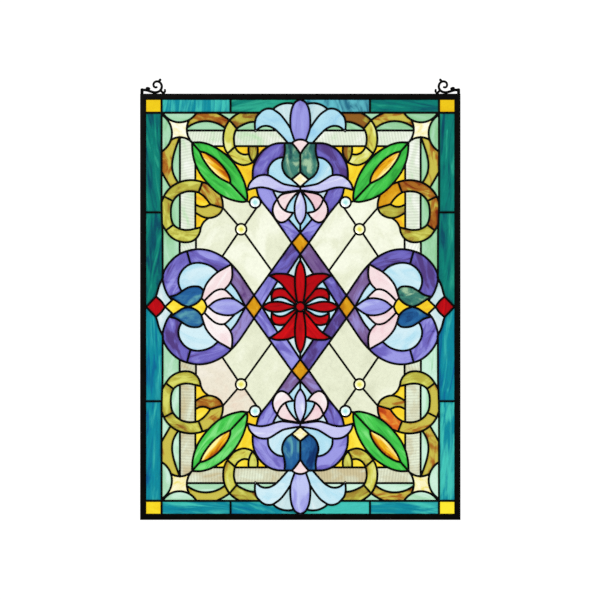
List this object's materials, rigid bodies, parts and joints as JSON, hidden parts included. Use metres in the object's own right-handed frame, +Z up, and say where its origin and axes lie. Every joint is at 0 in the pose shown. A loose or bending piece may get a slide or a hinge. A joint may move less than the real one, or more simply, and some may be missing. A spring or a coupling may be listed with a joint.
{
  "type": "stained glass window",
  "caption": "Rectangular leaded stained glass panel with a strapwork, leaf and lotus pattern, a coloured border, a dark came frame and two scroll hangers.",
  "frame": {"origin": "midway between the two places where the hangers' scrolls bear on their hooks or chain rings, above the panel", "axes": "+Z up, +X to the viewer's right along the top of the panel, +Y to the back, so the front faces -Y"},
  "size_m": [0.457, 0.009, 0.6301],
  "materials": {
    "came": "black patina, satin",
    "lead": "black patina over solder, satin",
    "hanger": "blackened, satin",
    "yellow_glass": "clear yellow cathedral glass",
    "teal_glass": "streaky teal glass",
    "amber_glass": "wispy amber, pale green and rippled glass",
    "green_glass": "wispy green glass",
    "clear_glass": "clear hammered glass",
    "cream_glass": "pressed cream glass jewel",
    "purple_glass": "wispy purple, teal and light blue glass",
    "blue_glass": "wispy light blue, teal and purple glass",
    "red_glass": "clear red and wispy purple glass"
  },
  "bodies": {
    "root": {"frame_top": "came", "frame_bottom": "came", "frame_right": "came", "frame_left": "came", "hanger_left": "hanger", "hanger_right": "hanger", "leading": "lead", "corner_square_top_left": "yellow_glass", "corner_square_top_right": "yellow_glass", "corner_square_bottom_left": "yellow_glass", "corner_square_bottom_right": "yellow_glass", "border_end_glass_top_left": "teal_glass", "border_end_glass_top_right": "teal_glass", "border_end_glass_bottom_left": "teal_glass", "border_end_glass_bottom_right": "teal_glass", "border_middle_glass_top_left": "teal_glass", "border_middle_glass_top_right": "teal_glass", "border_middle_glass_bottom_left": "teal_glass", "border_middle_glass_bottom_right": "teal_glass", "side_border_end_glass_top_left": "teal_glass", "side_border_end_glass_top_right": "teal_glass", "side_border_end_glass_bottom_left": "teal_glass", "side_border_end_glass_bottom_right": "teal_glass", "side_border_middle_glass_top_left": "teal_glass", "side_border_middle_glass_top_right": "teal_glass", "side_border_middle_glass_bottom_left": "teal_glass", "side_border_middle_glass_bottom_right": "teal_glass", "strapwork_top_left": "amber_glass", "strapwork_top_right": "amber_glass", "strapwork_bottom_left": "amber_glass", "strapwork_bottom_right": "amber_glass", "leaf_top_left": "green_glass", "leaf_top_right": "green_glass", "leaf_bottom_left": "green_glass", "leaf_bottom_right": "green_glass", "inner_pane_top_left": "clear_glass", "inner_pane_top_right": "clear_glass", "inner_pane_bottom_left": "clear_glass", "inner_pane_bottom_right": "clear_glass", "upper_pane_top_left": "clear_glass", "upper_pane_top_right": "clear_glass", "upper_pane_bottom_left": "clear_glass", "upper_pane_bottom_right": "clear_glass", "outer_pane_top_left": "clear_glass", "outer_pane_top_right": "clear_glass", "outer_pane_bottom_left": "clear_glass", "outer_pane_bottom_right": "clear_glass", "lower_pane_top_left": "clear_glass", "lower_pane_top_right": "clear_glass", "lower_pane_bottom_left": "clear_glass", "lower_pane_bottom_right": "clear_glass", "cream_jewel_top_left": "cream_glass", "cream_jewel_top_right": "cream_glass", "cream_jewel_bottom_left": "cream_glass", "cream_jewel_bottom_right": "cream_glass", "lotus_top": "purple_glass", "lotus_bottom": "purple_glass", "side_lotus_left": "blue_glass", "side_lotus_right": "blue_glass", "medallion_centre": "red_glass"}
  },
  "joints": []
}
